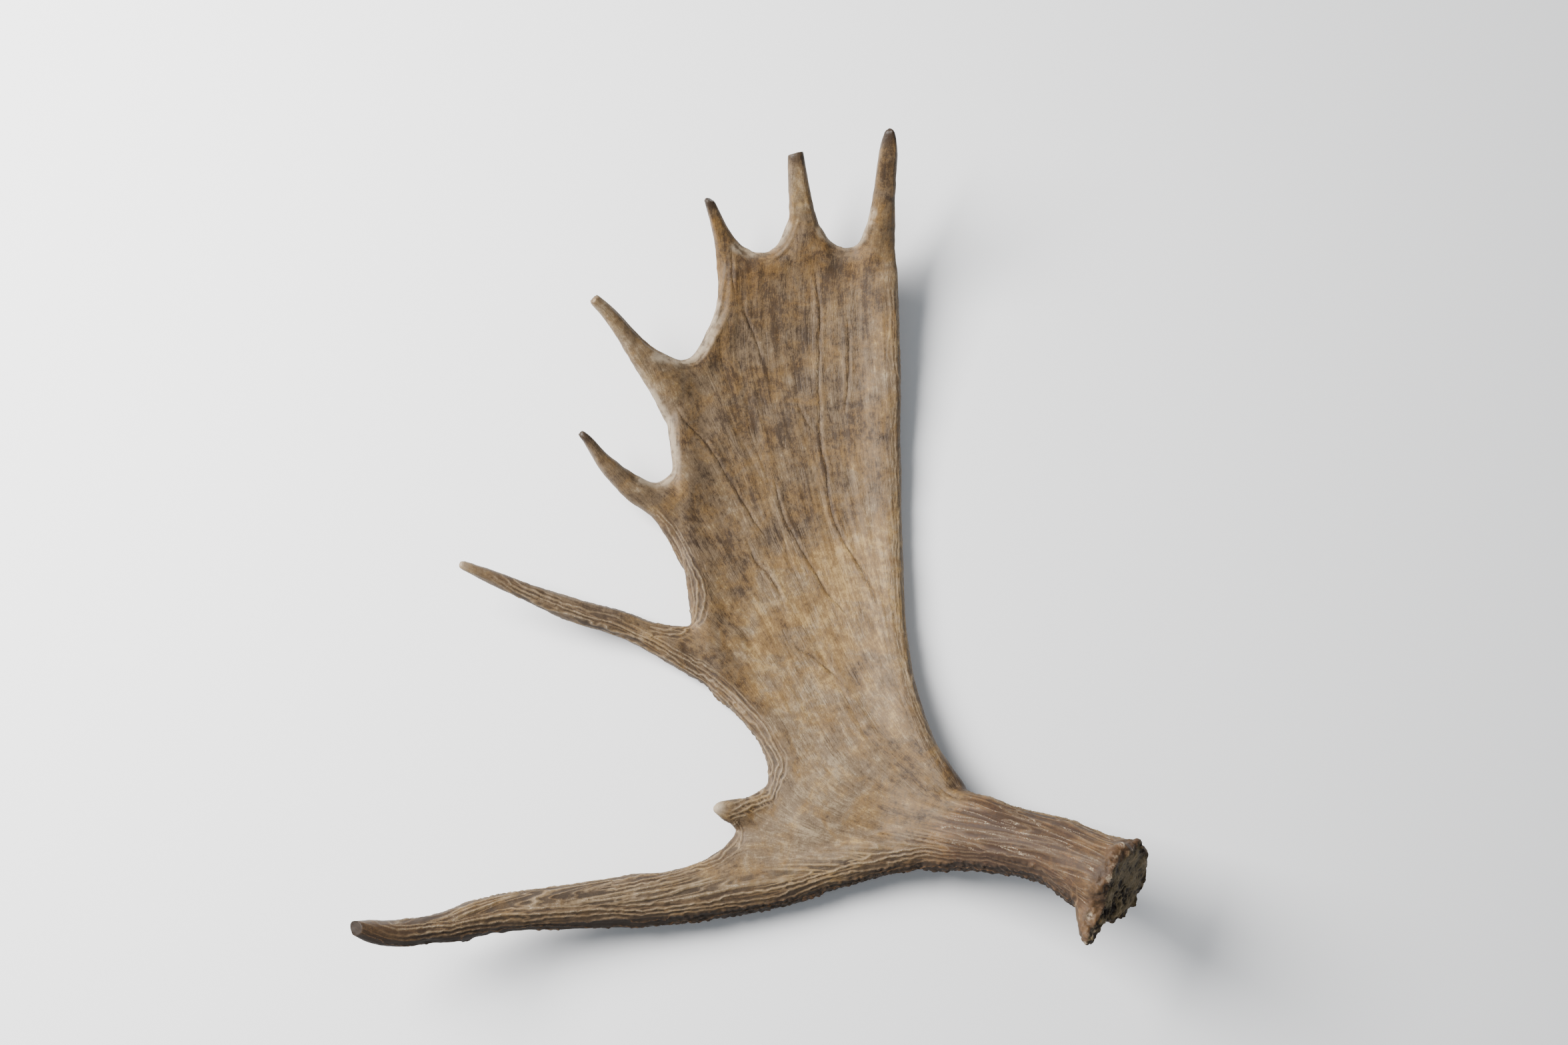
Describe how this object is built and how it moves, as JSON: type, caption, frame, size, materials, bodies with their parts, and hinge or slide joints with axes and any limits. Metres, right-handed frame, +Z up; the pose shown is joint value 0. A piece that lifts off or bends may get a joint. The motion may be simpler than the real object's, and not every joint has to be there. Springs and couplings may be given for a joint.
{
  "type": "moose antler",
  "caption": "Shed moose antler: a broad hollow palm with pointed tines along one edge, a long brow branch with a short spur, and a round beam ending in a beaded burr.",
  "frame": {"origin": "centre of the bounding box on the floor plane that the antler lies on", "axes": "+Z up out of the palm's hollow, +Y from the burr end toward the palm's upper points, +X toward the burr"},
  "size_m": [0.611, 0.6468, 0.1636],
  "materials": {
    "beam": "antler bone, reddish brown with worn pale ridges",
    "brow_branch": "antler bone, brown with pale worn ridges and dark grooves",
    "palm": "antler bone, tan brown mottled with grey, fine grain"
  },
  "bodies": {
    "root": {"beam": "beam", "brow_branch": "brow_branch", "palm": "palm"}
  },
  "joints": []
}
